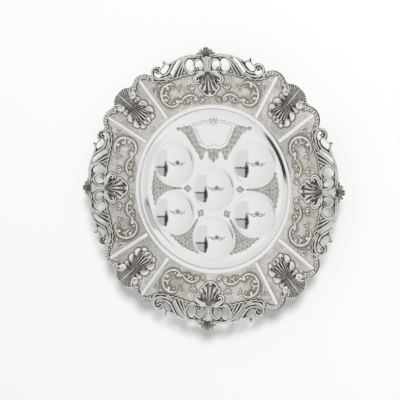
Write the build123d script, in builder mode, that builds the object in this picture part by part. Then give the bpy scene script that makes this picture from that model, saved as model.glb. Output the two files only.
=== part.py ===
from build123d import *
import os
from math import asin, cos, degrees, radians, sin, sqrt

# A round silver plate with six wells for ritual foods. A flat polished centre lies inside a coved
# shoulder, and a broad rim of stamped panels, radial strips, pierced edge castings and applied
# leaves is soldered round it. The plate lies flat on its foot ring: +Z is up, +Y points to the top
# of the plate, and the origin is the middle of the foot ring on the table.
# Lengths are millimetres, angles are degrees, and a clock angle runs clockwise from +Y.

# Sheet and joints
sheet = 1.0
solder_gap = 0.05

# Wells
floor_clearance = 3.0
well_radius = 30.0
well_depth = 8.0
well_gap = 11.5
well_margin = 3.0
collar_width = 2.2
collar_height = 0.5
well_wall = 0.75

# Centre, shoulder and foot
shoulder_flat = 1.5
cove = 7.6
lip_width = 7.0
lip_height = 9.0
lip_crown = 10.3
foot_flange = 1.9
foot_wall = 1.6
foot_tread = 3.0
foot_flare = 3.6

# Rim profile: a cavetto beside the shoulder, a straight cone, then a flatter edge
cavetto_width = 17.0
cavetto_rise = 3.2
cone_rise = 12.0
edge_width = 19.0
edge_rise = 2.2
edge_spare = 4.6

# Rim outline: measured outwards from the lip to the rail of the galleries
rim_width = 69.9
gallery_depth = 23.5
rib_angle = 33.75
lobe_step = 9.0
lobe_radius = 18.0
leaf_edge_step = 23.0

# Radial strips and lobe mouldings
rib_width = 5.0
rib_relief = 1.8
rib_inner_margin = 1.0
moulding_width = 5.5
moulding_relief = 3.0
moulding_root_step = 5.0

# Pierced galleries
gallery_relief = 2.5
gallery_angle = 21.8
rail_arc_radius = 140.0
frame_angle = 26.3
frame_width = 7.0
volute_angle = 24.9
volute_step = 15.0
volute_radius = 9.4
volute_eye = 4.8
finial_rise = 9.5
finial_bud = 3.4
finial_spread = 6.2
finial_drop = 6.0
spur_angle = 20.0
spur_rise = 3.0
spur_base = 1.6
inner_eye_radius = 5.6
inner_eye_angle = 4.0
inner_eye_step = 7.3
outer_eye_radius = 6.4
outer_eye_angle = 8.35
outer_eye_step = 9.8
slot_angle = 16.0
slot_step = 12.8
slot_width = 5.0
slot_run = 11.0
slot_lean = 50.0
gap_angle = 20.3
gap_step = 13.2
gap_width = 5.6
gap_run = 4.6

# Palmettes
palmette_length = 28.0
petal_angle = 25.0
palmette_petals = 7
palmette_shortening = 0.35
petal_root = 1.8
petal_tip = 3.6
ridge_share = 0.5
palmette_base = 1.8
palmette_relief = 3.4

# Acanthus leaves
leaf_length = 61.5
leaf_overhang = 5.5
leaf_lobe = 5.6
leaf_lobe_halves = (12.0, 16.5, 17.0, 13.5, 17.0)
leaf_neck_half = 9.5
leaf_base = 2.0
leaf_relief = 3.8
flute_count = 7
flute_width = 1.6
flute_pitch = 2.3
flute_fan = 3.3
flute_neck_length = 23.5
flute_margin = 7.0

# Levels and radii that follow from the sizes above
tray_top = floor_clearance + sheet + well_depth
tray_under = tray_top - sheet
well_pitch = 2 * well_radius + well_gap
seam_radius = well_pitch + well_radius + well_margin
cove_start = seam_radius + shoulder_flat
lip_inner = cove_start + cove
lip_radius = lip_inner + lip_width
cavetto_end = lip_radius + cavetto_width
rail_top_radius = lip_radius + rim_width
panel_edge_radius = rail_top_radius - gallery_depth
lobe_centre_radius = panel_edge_radius + lobe_step
leaf_edge_radius = panel_edge_radius + leaf_edge_step
finial_radius = rail_top_radius + finial_rise
rim_reach = finial_radius + edge_spare
cone_end = rim_reach - edge_width
headroom = tray_top + lip_height + cavetto_rise + cone_rise + edge_rise + leaf_relief + sheet
leaf_angle = 45.0 - rib_angle
seam_angle = degrees(solder_gap / lip_radius)

os.makedirs("parts", exist_ok=True)


def clock(radius, angle):
    """The point at a radius and a clock angle."""
    return (radius * sin(radians(angle)), radius * cos(radians(angle)))


def keep(piece, name, angle=0.0, spot=(0.0, 0.0)):
    """Writes a piece as a named node, turned clockwise about the axis and moved to its spot."""
    placed = piece.rotate(Axis.Z, -angle).moved(Location((spot[0], spot[1], 0)))
    placed.label = name
    export_step(placed, f"parts/{name}.step")


def rim_curve(lift):
    """The rim's upper profile from the lip outwards, raised by lift, in the active line."""
    start = (lip_radius + solder_gap, tray_top + lip_height + lift)
    hollow = (cavetto_end, start[1] + cavetto_rise)
    brow = (cone_end, hollow[1] + cone_rise)
    edge = (rim_reach, brow[1] + edge_rise)
    slope = (cone_end - cavetto_end, cone_rise)
    cone = Line(hollow, brow)
    inner = TangentArc(hollow, start, tangent=(-slope[0], -slope[1]))
    outer = TangentArc(brow, edge, tangent=slope)
    return inner @ 1, outer @ 1


def rim_band(low, high):
    """A full ring of the rim between two heights over its upper surface."""
    with BuildPart() as band:
        with BuildSketch(Plane.XZ):
            with BuildLine():
                low_start, low_end = rim_curve(low)
                high_start, high_end = rim_curve(high)
                Line(low_start, high_start)
                Line(low_end, high_end)
            make_face()
        revolve(axis=Axis.Z)
    return band.part


def wedge(half_angle):
    """A sector about +Y that reaches past the rim."""
    reach = 2 * rim_reach
    with BuildSketch() as sector:
        with BuildLine():
            Polyline((0, 0), clock(reach, -half_angle), clock(reach, half_angle), close=True)
        make_face()
    return sector.sketch


def petal(root, root_radius, tip, tip_radius):
    """A drop that widens from its root to its tip."""
    with BuildSketch() as drop:
        with Locations(root):
            Circle(root_radius)
        with Locations(tip):
            Circle(tip_radius)
        make_hull()
    return drop.sketch


# Foot ring: a flared collar under the seam between the centre and the shoulder

foot_inner = seam_radius - foot_flange
foot_outer = cove_start
tread_inner = foot_inner + foot_flare
with BuildPart() as foot_ring:
    with BuildSketch(Plane.XZ):
        with BuildLine():
            top = tray_under - solder_gap
            Polyline(
                (tread_inner, 0),
                (foot_inner, top - sheet),
                (foot_inner, top),
                (foot_outer, top),
                (foot_outer, top - sheet),
                (foot_inner + foot_wall, top - sheet),
            )
            SagittaArc(
                (foot_inner + foot_wall, top - sheet),
                (tread_inner + foot_tread, sheet),
                foot_wall / 2,
            )
            Polyline(
                (tread_inner + foot_tread, sheet),
                (tread_inner + foot_tread, 0),
                (tread_inner, 0),
            )
        make_face()
    revolve(axis=Axis.Z)
keep(foot_ring.part, "foot_ring")

# Wells: shallow dished cups that hang by a thin collar in the holes of the centre plate

well_spots = {
    "well_centre": (0.0, 0.0),
    "well_upper_right": clock(well_pitch, 60),
    "well_lower_right": clock(well_pitch, 120),
    "well_bottom": clock(well_pitch, 180),
    "well_lower_left": clock(well_pitch, 240),
    "well_upper_left": clock(well_pitch, 300),
}
dish_radius = (well_radius**2 + well_depth**2) / (2 * well_depth)
dish_centre = tray_top - well_depth + dish_radius
neck_radius = well_radius + well_wall
with BuildPart() as well_dish:
    with BuildSketch(Plane.XZ):
        with BuildLine():
            inside = CenterArc(
                (0, dish_centre), dish_radius, -90, degrees(asin(well_radius / dish_radius))
            )
            outer_radius = dish_radius + sheet
            outside = CenterArc(
                (0, dish_centre), outer_radius, -90, degrees(asin(neck_radius / outer_radius))
            )
            Line(inside @ 0, outside @ 0)
            seat = tray_top + solder_gap
            Polyline(
                outside @ 1,
                (neck_radius, seat),
                (well_radius + collar_width, seat),
            )
            ThreePointArc(
                (well_radius + collar_width, seat),
                (well_radius + collar_width / 2, seat + collar_height),
                inside @ 1,
            )
        make_face()
    revolve(axis=Axis.Z)
for name, spot in well_spots.items():
    keep(well_dish.part, name, spot=spot)

# Centre plate: a flat disc with a hole for each well

with BuildPart() as centre_plate:
    with BuildSketch(Plane.XY.offset(tray_under)):
        Circle(seam_radius)
        with Locations(*well_spots.values()):
            Circle(neck_radius + solder_gap, mode=Mode.SUBTRACT)
    extrude(amount=sheet)
keep(centre_plate.part, "centre_plate")

# Shoulder ring: a cove that climbs from the centre to a rounded lip

with BuildPart() as shoulder_ring:
    with BuildSketch(Plane.XZ):
        with BuildLine():
            inner_edge = seam_radius + solder_gap
            lip_top = tray_top + lip_height
            crown = ((lip_inner + lip_radius) / 2, tray_top + lip_crown)
            Polyline(
                (cove_start, tray_top),
                (inner_edge, tray_top),
                (inner_edge, tray_under),
                (cove_start, tray_under),
            )
            CenterArc((cove_start, tray_top + cove), cove, -90, 90)
            CenterArc((cove_start, tray_top + cove), cove + sheet, -90, 90)
            ThreePointArc((lip_inner, tray_top + cove), crown, (lip_radius, lip_top))
            ThreePointArc(
                (lip_inner + sheet, tray_top + cove),
                (crown[0] + sheet / 2, crown[1] - sheet),
                (lip_radius, lip_top - sheet),
            )
            Line((lip_radius, lip_top), (lip_radius, lip_top - sheet))
        make_face()
    revolve(axis=Axis.Z)
keep(shoulder_ring.part, "shoulder_ring")

# Rim panels: sectors of the rim sheet that meet under the radial strips

panel_band = rim_band(-sheet, 0)
with BuildPart() as scroll_panel:
    with BuildSketch():
        Circle(panel_edge_radius)
        with Locations(clock(lobe_centre_radius, -rib_angle), clock(lobe_centre_radius, rib_angle)):
            Circle(lobe_radius)
        add(wedge(rib_angle - seam_angle), mode=Mode.INTERSECT)
    extrude(amount=headroom)
    add(panel_band, mode=Mode.INTERSECT)

with BuildPart() as leaf_panel:
    with BuildSketch():
        Circle(leaf_edge_radius)
        with Locations(clock(lobe_centre_radius, -leaf_angle), clock(lobe_centre_radius, leaf_angle)):
            Circle(lobe_radius)
        add(wedge(leaf_angle - seam_angle), mode=Mode.INTERSECT)
    extrude(amount=headroom)
    add(panel_band, mode=Mode.INTERSECT)

# Radial strips: half-round bars that cover the seams between the panels

rib_outer_radius = (
    lobe_centre_radius + sqrt((lobe_radius - moulding_width) ** 2 - (rib_width / 2) ** 2) - solder_gap
)
with BuildPart() as rib_strip:
    with BuildLine(Plane.XZ) as rib_path:
        rim_curve(solder_gap)
    rib_wire = rib_path.wire()
    with BuildSketch(Plane(rib_wire @ 0, x_dir=(0, 1, 0), z_dir=rib_wire % 0)):
        with BuildLine():
            ThreePointArc((-rib_width / 2, 0), (0, rib_relief), (rib_width / 2, 0))
            Line((-rib_width / 2, 0), (rib_width / 2, 0))
        make_face()
    sweep(path=rib_wire)
    with BuildSketch() as rib_reach:
        Circle(rib_outer_radius)
        Circle(lip_radius + rib_inner_margin, mode=Mode.SUBTRACT)
    extrude(amount=headroom, mode=Mode.INTERSECT)

# Lobe mouldings: rolled crescents round the end of each strip

with BuildPart() as lobe_moulding:
    with BuildSketch():
        with Locations(clock(lobe_centre_radius, 0)):
            Circle(lobe_radius)
            Circle(lobe_radius - moulding_width, mode=Mode.SUBTRACT)
        Circle(lobe_centre_radius + moulding_root_step, mode=Mode.SUBTRACT)
    extrude(amount=headroom)
    add(rim_band(solder_gap, moulding_relief), mode=Mode.INTERSECT)

# Pierced galleries: openwork castings along the edge of each scroll panel

gallery_inner = panel_edge_radius + solder_gap
spur_root_radius = rail_top_radius - finial_drop
with BuildSketch() as rail:
    with Locations((0, rail_top_radius - rail_arc_radius)):
        Circle(rail_arc_radius)
    Circle(gallery_inner, mode=Mode.SUBTRACT)
    add(wedge(gallery_angle), mode=Mode.INTERSECT)
with BuildSketch() as frame:
    Circle(gallery_inner + frame_width)
    Circle(gallery_inner, mode=Mode.SUBTRACT)
    add(wedge(frame_angle), mode=Mode.INTERSECT)

with BuildPart() as pierced_gallery:
    with BuildSketch():
        add(rail.sketch)
        add(frame.sketch)
        bud_root = (0, rail_top_radius - finial_drop)
        add(petal(bud_root, finial_bud, (0, finial_radius - finial_bud), finial_bud))
        for side in (-1, 1):
            side_bud = (side * finial_spread, rail_top_radius + finial_bud)
            add(petal(bud_root, finial_bud, side_bud, finial_bud))
            with Locations(clock(panel_edge_radius + volute_step, side * volute_angle)):
                Circle(volute_radius)
            with BuildLine():
                Polyline(
                    clock(spur_root_radius, side * (spur_angle - spur_base)),
                    clock(rail_top_radius + spur_rise, side * spur_angle),
                    clock(spur_root_radius, side * (spur_angle + spur_base)),
                    close=True,
                )
            make_face()
        for side in (-1, 1):
            with Locations(clock(panel_edge_radius + volute_step, side * volute_angle)):
                Circle(volute_eye, mode=Mode.SUBTRACT)
            with Locations(clock(panel_edge_radius + inner_eye_step, side * inner_eye_angle)):
                Circle(inner_eye_radius, mode=Mode.SUBTRACT)
            with Locations(clock(panel_edge_radius + outer_eye_step, side * outer_eye_angle)):
                Circle(outer_eye_radius, mode=Mode.SUBTRACT)
            slot_spot = clock(panel_edge_radius + slot_step, side * slot_angle)
            with Locations(Location((*slot_spot, 0), 90 + side * (slot_lean - slot_angle))):
                SlotCenterToCenter(slot_run, slot_width, mode=Mode.SUBTRACT)
            gap_spot = clock(panel_edge_radius + gap_step, side * gap_angle)
            with Locations(Location((*gap_spot, 0), 90 + side * (slot_lean - gap_angle))):
                SlotCenterToCenter(gap_run, gap_width, mode=Mode.SUBTRACT)
    extrude(amount=headroom)
    add(rim_band(-sheet, gallery_relief), mode=Mode.INTERSECT)

# Palmettes: fans of petals on the scroll panels, under the galleries

palmette_root = (0, panel_edge_radius - petal_root - solder_gap)


def palmette_fan(share):
    """The fan's petals, each as wide as a share of its full width."""
    with BuildSketch() as fan:
        for n in range(palmette_petals):
            turn = (n - (palmette_petals - 1) / 2) * petal_angle
            widest = petal_angle * (palmette_petals - 1) / 2
            length = (palmette_length - petal_tip) * (1 - palmette_shortening * (turn / widest) ** 2)
            tip = (length * sin(radians(turn)), palmette_root[1] - length * cos(radians(turn)))
            add(petal(palmette_root, petal_root * share, tip, petal_tip * share))
    return fan.sketch


palmette_low_band = rim_band(solder_gap, palmette_base)
palmette_high_band = rim_band(solder_gap, palmette_relief)
palmette_outline = palmette_fan(1.0)
palmette_ridges = palmette_fan(ridge_share)
with BuildPart() as palmette_ridge:
    extrude(palmette_ridges, amount=headroom)
    add(palmette_high_band, mode=Mode.INTERSECT)
with BuildPart() as palmette:
    extrude(palmette_outline, amount=headroom)
    add(palmette_low_band, mode=Mode.INTERSECT)
    add(palmette_ridge.part)

# Acanthus leaves: long lobed leaves over the leaf panels, with flutes that fan out inwards

leaf_outer_radius = leaf_edge_radius + leaf_overhang
leaf_inner_radius = leaf_outer_radius - leaf_length
flute_waist_radius = leaf_outer_radius - flute_neck_length
flute_inner_radius = leaf_inner_radius + flute_margin
leaf_pitch = (leaf_outer_radius - leaf_inner_radius - 2 * leaf_lobe) / (len(leaf_lobe_halves) - 1)
with BuildSketch() as leaf_outline:
    with BuildLine():
        half = leaf_neck_half
        Polyline(
            (-half, leaf_inner_radius + leaf_lobe),
            (half, leaf_inner_radius + leaf_lobe),
            (half, leaf_outer_radius - leaf_lobe / 2),
            (0, leaf_outer_radius),
            (-half, leaf_outer_radius - leaf_lobe / 2),
            close=True,
        )
    make_face()
    with Locations((0, leaf_inner_radius + leaf_lobe)):
        Circle(leaf_lobe)
    for n, lobe_half in enumerate(leaf_lobe_halves):
        height = leaf_inner_radius + leaf_lobe + n * leaf_pitch
        with Locations((lobe_half - leaf_lobe, height), (leaf_lobe - lobe_half, height)):
            Circle(leaf_lobe)

leaf_low_band = rim_band(solder_gap, leaf_base)
leaf_high_band = rim_band(solder_gap, leaf_relief)
with BuildPart() as leaf_flutes:
    with BuildSketch():
        for n in range(flute_count):
            step = n - (flute_count - 1) / 2
            with BuildLine():
                Polyline(
                    (step * flute_pitch, leaf_outer_radius - leaf_lobe),
                    (step * flute_pitch, flute_waist_radius),
                    (step * flute_fan, flute_inner_radius),
                )
            trace(line_width=flute_width)
    extrude(amount=headroom)
    add(leaf_high_band, mode=Mode.INTERSECT)
with BuildPart() as acanthus_leaf:
    extrude(leaf_outline.sketch, amount=headroom)
    add(leaf_low_band, mode=Mode.INTERSECT)
    add(leaf_flutes.part)

# Copies round the rim, each its own node

for name, turn in {"top": 0, "right": 90, "bottom": 180, "left": 270}.items():
    keep(scroll_panel.part, f"scroll_panel_{name}", turn)
    keep(pierced_gallery.part, f"pierced_gallery_{name}", turn)
    keep(palmette.part, f"palmette_{name}", turn)
for name, turn in {"upper_right": 45, "lower_right": 135, "lower_left": 225, "upper_left": 315}.items():
    keep(leaf_panel.part, f"leaf_panel_{name}", turn)
    keep(acanthus_leaf.part, f"acanthus_leaf_{name}", turn)
rib_turns = [turn + side for turn in range(0, 360, 90) for side in (rib_angle, 90 - rib_angle)]
for number, turn in enumerate(rib_turns, 1):
    keep(rib_strip.part, f"rib_strip_{number}", turn - 90)
    keep(lobe_moulding.part, f"lobe_moulding_{number}", turn)
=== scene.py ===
import math

import bpy
import numpy as np
from mathutils.geometry import delaunay_2d_cdt
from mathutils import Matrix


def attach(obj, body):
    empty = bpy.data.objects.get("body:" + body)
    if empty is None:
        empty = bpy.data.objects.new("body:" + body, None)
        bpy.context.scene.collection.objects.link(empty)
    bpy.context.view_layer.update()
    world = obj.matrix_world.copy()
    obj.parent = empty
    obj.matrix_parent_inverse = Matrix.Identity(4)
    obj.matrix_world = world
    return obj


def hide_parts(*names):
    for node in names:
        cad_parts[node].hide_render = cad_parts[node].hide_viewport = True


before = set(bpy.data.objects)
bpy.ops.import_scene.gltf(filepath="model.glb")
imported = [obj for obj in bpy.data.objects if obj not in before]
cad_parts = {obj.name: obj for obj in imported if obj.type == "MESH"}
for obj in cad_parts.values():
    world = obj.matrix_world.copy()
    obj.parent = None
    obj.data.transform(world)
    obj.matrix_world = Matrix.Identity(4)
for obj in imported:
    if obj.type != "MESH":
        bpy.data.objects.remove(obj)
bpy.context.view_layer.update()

# Sizes are millimetres here and become metres in the meshes. A flat pattern is drawn as if its panel
# pointed to +Y: u runs across, v is the distance from the plate's axis, and z is the height over the
# rim's sheet. Angles are clock angles, in degrees from +Y.
MM = 0.001
TRAY = 12.0
SEAM = 104.5
SOLDER = 0.05
LIP_MIDDLE = 117.6
LIP_OUTER = 120.6
LIP = 21.0
CROWN = 21.9
SHEET = 1.0
WELL = 30.0
WELL_DEPTH = 8.0
WELL_PITCH = 71.5
COLLAR = 2.2
RIB_ANGLE = 33.75
CONE_START = 137.6
CONE_END = 185.6
CONE_HEIGHT = 24.2
CONE_SLOPE = 0.25
CAVETTO_CURVE = 0.00361
EDGE_CURVE = 0.00706
SIDES = {"top": 0, "right": 90, "bottom": 180, "left": 270}
CORNERS = {"upper_right": 45, "lower_right": 135, "lower_left": 225, "upper_left": 315}
WELLS = {"upper_right": 60, "lower_right": 120, "bottom": 180, "lower_left": 240, "upper_left": 300}
WELL_SPOTS = {name: (WELL_PITCH * math.sin(math.radians(a)), WELL_PITCH * math.cos(math.radians(a)))
              for name, a in WELLS.items()}
WELL_SPOTS = {"centre": (0.0, 0.0), **WELL_SPOTS}


def rim_height(radius):
    """The height of the rim's upper surface: a cavetto, a straight cone and a flatter edge."""
    inside = np.minimum(radius - CONE_START, 0.0)
    outside = np.maximum(radius - CONE_END, 0.0)
    cone = CONE_HEIGHT + CONE_SLOPE * (radius - CONE_START)
    return cone + CAVETTO_CURVE * inside**2 - EDGE_CURVE * outside**2


def smooth_step(low, high, x):
    """0 up to low, 1 from high on, and a smooth rise between."""
    t = np.clip((x - low) / (high - low), 0.0, 1.0)
    return t * t * (3 - 2 * t)


def new_object(name, data):
    """A new object in the scene."""
    made = bpy.data.objects.new(name, data)
    bpy.context.scene.collection.objects.link(made)
    return made


# Node trees

def put(tree, kind, inputs=None, **settings):
    """Adds a node. Inputs are given by name or number, as a value or as the socket to link from."""
    node = tree.nodes.new(kind)
    for key, value in settings.items():
        setattr(node, key, value)
    for key, value in (inputs or {}).items():
        if isinstance(value, bpy.types.NodeSocket):
            tree.links.new(value, node.inputs[key])
        else:
            node.inputs[key].default_value = value
    return node


def out(tree, kind, inputs=None, **settings):
    """Adds a node and returns its first output."""
    return put(tree, kind, inputs, **settings).outputs[0]


def math_node(tree, operation, *values):
    """Adds a calculation and returns its result."""
    return out(tree, "ShaderNodeMath", dict(enumerate(values)), operation=operation)


def new_tree(name, **inputs):
    """A geometry tree with named inputs, given as (socket type, default)."""
    tree = bpy.data.node_groups.new(name, "GeometryNodeTree")
    face = tree.interface
    face.new_socket("Geometry", in_out="INPUT", socket_type="NodeSocketGeometry")
    for label, (kind, default) in inputs.items():
        socket = face.new_socket(label, in_out="INPUT", socket_type=kind)
        if default is not None:
            socket.default_value = default
    face.new_socket("Geometry", in_out="OUTPUT", socket_type="NodeSocketGeometry")
    return tree, tree.nodes.new("NodeGroupInput").outputs


def end_tree(tree, geometry, material):
    """Realizes what the tree made, gives it its material and hands it out."""
    real = out(tree, "GeometryNodeRealizeInstances", {"Geometry": geometry})
    shaded = out(tree, "GeometryNodeSetShadeSmooth", {"Geometry": real})
    done = out(tree, "GeometryNodeSetMaterial", {"Geometry": shaded, "Material": material})
    end = tree.nodes.new("NodeGroupOutput")
    tree.links.new(done, end.inputs[0])
    return tree


FLOAT, INT, MATERIAL = "NodeSocketFloat", "NodeSocketInt", "NodeSocketMaterial"


def smooth_curve(tree, given):
    """The tree's strokes as smooth curves, divided into the given steps."""
    curve = out(tree, "GeometryNodeCurveSplineType", {"Curve": given["Geometry"]}, spline_type="CATMULL_ROM")
    return out(tree, "GeometryNodeSetSplineResolution", {"Geometry": curve, "Resolution": given["Steps"]})


def scroll_tree():
    """Sweeps a flattened, grooved bar along each stroke, as thick as the stroke's own radius. Its top is a
    ridge where Middle is -0.5 and a groove where it is 0.5."""
    tree, given = new_tree(
        "swept scrolls", Flatness=(FLOAT, 0.8), Grooves=(FLOAT, 4.0), Depth=(FLOAT, 0.15),
        Middle=(FLOAT, -0.5), Around=(INT, 14), Steps=(INT, 6), Material=(MATERIAL, None))
    circle = out(tree, "GeometryNodeCurvePrimitiveCircle", {"Resolution": given["Around"], "Radius": 1.0})
    place = out(tree, "GeometryNodeInputPosition")
    x, y, _ = put(tree, "ShaderNodeSeparateXYZ", {0: place}).outputs
    angle = math_node(tree, "ARCTAN2", x, y)
    wave = math_node(tree, "COSINE", math_node(tree, "MULTIPLY", angle, given["Grooves"]))
    groove = math_node(tree, "MULTIPLY_ADD", wave, given["Middle"], 0.5)
    shrink = math_node(tree, "SUBTRACT", 1.0, math_node(tree, "MULTIPLY", groove, given["Depth"]))
    across = math_node(tree, "MULTIPLY", x, shrink)
    height = math_node(tree, "MULTIPLY", y, shrink)
    upward = math_node(tree, "MULTIPLY", height, given["Flatness"])
    mark = {"Geometry": circle, "Name": "groove", "Value": groove}
    marked = out(tree, "GeometryNodeStoreNamedAttribute", mark, data_type="FLOAT", domain="POINT")
    shaped = out(tree, "ShaderNodeCombineXYZ", {0: across, 1: upward})
    section = out(tree, "GeometryNodeSetPosition", {"Geometry": marked, "Position": shaped})
    fine = smooth_curve(tree, given)
    level = out(tree, "GeometryNodeSetCurveNormal", {"Curve": fine}, mode="Z_UP")
    size = out(tree, "GeometryNodeInputRadius")
    bar = out(tree, "GeometryNodeCurveToMesh",
              {"Curve": level, "Profile Curve": section, "Scale": size, "Fill Caps": True})
    return end_tree(tree, bar, given["Material"])


def bead_tree():
    """Sets flattened beads in a row along each stroke, as large as the stroke's radius."""
    tree, given = new_tree("bead rows", Pitch=(FLOAT, 0.003), Height=(FLOAT, 0.8), Material=(MATERIAL, None))
    curve = out(tree, "GeometryNodeCurveSplineType", {"Curve": given["Geometry"]}, spline_type="CATMULL_ROM")
    points = out(tree, "GeometryNodeResampleCurve", {"Curve": curve, "Length": given["Pitch"]}, mode="LENGTH")
    bead = out(tree, "GeometryNodeMeshIcoSphere", {"Radius": 1.0, "Subdivisions": 2})
    along = out(tree, "GeometryNodeInputTangent")
    turn = out(tree, "FunctionNodeAxesToRotation", {"Primary Axis": (0.0, 0.0, 1.0), "Secondary Axis": along},
               primary_axis="Z", secondary_axis="X")
    size = out(tree, "GeometryNodeInputRadius")
    flat = math_node(tree, "MULTIPLY", size, given["Height"])
    scale = out(tree, "ShaderNodeCombineXYZ", {0: size, 1: size, 2: flat})
    row = out(tree, "GeometryNodeInstanceOnPoints",
              {"Points": points, "Instance": bead, "Rotation": turn, "Scale": scale})
    return end_tree(tree, row, given["Material"])


def plate_tree():
    """Fills a closed outline and gives the plate its thickness."""
    tree, given = new_tree("filled plate", Thickness=(FLOAT, 0.001), Steps=(INT, 6), Level=(INT, 2),
                           Material=(MATERIAL, None))
    fine = smooth_curve(tree, given)
    filled = out(tree, "GeometryNodeFillCurve", {"Curve": fine})
    cut = out(tree, "GeometryNodeSubdivideMesh", {"Mesh": filled, "Level": given["Level"]})
    up = out(tree, "ShaderNodeCombineXYZ", {2: given["Thickness"]})
    thick = out(tree, "GeometryNodeExtrudeMesh", {"Mesh": cut, "Offset": up, "Individual": False})
    flipped = out(tree, "GeometryNodeFlipFaces", {"Mesh": cut})
    both = put(tree, "GeometryNodeJoinGeometry")
    tree.links.new(thick, both.inputs[0])
    tree.links.new(flipped, both.inputs[0])
    return end_tree(tree, both.outputs[0], given["Material"])


# Shapes: plain arrays of points, faces and the silver's brightness at each point, which holds polish and
# oxide together with painted highlight and painted shade

class Shape:
    def __init__(self, points, loops, totals, bright=None, groove=None):
        self.points = np.asarray(points, float)
        self.loops = np.asarray(loops, int)
        self.totals = np.asarray(totals, int)
        self.bright = np.ones(len(self.points)) if bright is None else np.asarray(bright, float)
        self.groove = np.zeros(len(self.points)) if groove is None else groove

    def __add__(self, other):
        loops = np.r_[self.loops, other.loops + len(self.points)]
        return Shape(np.vstack([self.points, other.points]), loops, np.r_[self.totals, other.totals],
                     np.r_[self.bright, other.bright], np.r_[self.groove, other.groove])

    def laid(self, height):
        """The shape laid on a surface, given as the height over a distance from the axis."""
        points = self.points.copy()
        points[:, 2] += height(np.hypot(points[:, 0], points[:, 1]))
        return Shape(points, self.loops, self.totals, self.bright, self.groove)

    def draped(self):
        """The shape laid on the rim's sheet."""
        return self.laid(rim_height)

    def outward(self):
        """The shape, made of quads, with its faces pointing outwards."""
        a, b, c, d = np.moveaxis(self.points[self.loops.reshape(-1, 4)], 1, 0)
        volume = (np.cross(a, b) * c).sum() + (np.cross(a, c) * d).sum()
        if volume < 0:
            self.loops = self.loops.reshape(-1, 4)[:, ::-1].ravel()
        return self

    def welded(self):
        """The shape with its coincident points merged and its collapsed corners dropped."""
        near = np.round(self.points, 5)
        _, first, index = np.unique(near, axis=0, return_index=True, return_inverse=True)
        faces = [[v for v, before in zip(face, np.roll(face, 1)) if v != before]
                 for face in np.split(index.ravel()[self.loops], np.cumsum(self.totals)[:-1])]
        faces = [face for face in faces if len(face) > 2]
        return Shape(self.points[first], np.concatenate(faces), [len(face) for face in faces],
                     self.bright[first], self.groove[first])


def closed_sheet(points, bright, under):
    """A sheet of quads over rows and columns of points, closed by walls and a floor at the level under."""
    n = np.arange(bright.size).reshape(bright.shape)
    low = points.copy()
    low[..., 2] = under
    top = np.stack([n[:-1, :-1], n[:-1, 1:], n[1:, 1:], n[1:, :-1]], -1).reshape(-1, 4)
    ring = np.r_[n[0, :-1], n[:-1, -1], n[-1, :0:-1], n[:0:-1, 0]]
    after = np.roll(ring, -1)
    wall = np.stack([ring, ring + n.size, after + n.size, after], -1)
    quads = np.vstack([top, top[:, ::-1] + n.size, wall])
    both = np.vstack([points.reshape(-1, 3), low.reshape(-1, 3)])
    return Shape(both, quads.ravel(), np.full(len(quads), 4), np.tile(bright.ravel(), 2)).outward()


def strokes_shape(strokes, tree, closed=False, **inputs):
    """Runs a geometry tree on strokes, lists of (u, v, radius[, z]), and returns the flat shape it makes."""
    data = bpy.data.curves.new("strokes", "CURVE")
    data.dimensions = "3D"
    for stroke in strokes:
        spline = data.splines.new("POLY")
        spline.points.add(len(stroke) - 1)
        spline.use_cyclic_u = closed
        for point, (u, v, radius, *z) in zip(spline.points, stroke):
            point.co = (u * MM, v * MM, (z[0] if z else 0.0) * MM, 1.0)
            point.radius = radius * MM
    source = new_object("strokes", data)
    modifier = source.modifiers.new("made", "NODES")
    modifier.node_group = tree
    for item in tree.interface.items_tree:
        if item.in_out == "INPUT" and item.name in inputs:
            modifier[item.identifier] = inputs[item.name]
    ready = source.evaluated_get(bpy.context.evaluated_depsgraph_get())
    mesh = bpy.data.meshes.new_from_object(ready)
    points = np.empty(len(mesh.vertices) * 3)
    mesh.vertices.foreach_get("co", points)
    loops = np.empty(len(mesh.loops), np.int32)
    mesh.loops.foreach_get("vertex_index", loops)
    totals = np.empty(len(mesh.polygons), np.int32)
    mesh.polygons.foreach_get("loop_total", totals)
    groove = np.zeros(len(mesh.vertices))
    if "groove" in mesh.attributes:
        mesh.attributes["groove"].data.foreach_get("value", groove)
    source.modifiers.remove(modifier)
    bpy.data.objects.remove(source)
    bpy.data.meshes.remove(mesh)
    return Shape(points.reshape(-1, 3) / MM, loops, totals, groove=groove)


def mirrored(strokes):
    """The strokes and their mirror images across the panel's axis."""
    return strokes + [[(-u, *rest) for u, *rest in stroke] for stroke in strokes]


def moved(strokes, lift):
    """The strokes raised by lift."""
    return [[(u, v, r, (z[0] if z else 0.0) + lift) for u, v, r, *z in stroke] for stroke in strokes]


def shade(shape, low, high, dark=0.0, groove=0.6):
    """Brightens a shape from the height low to the height high, and darkens its grooves: a painted highlight
    on its top and painted shade down its flanks and in its grooves, partly standing for polish and oxide.
    """
    rise = smooth_step(low, high, shape.points[:, 2])
    shape.bright = (dark + (1 - dark) * rise) * (1 - groove * shape.groove)
    return shape


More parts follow.
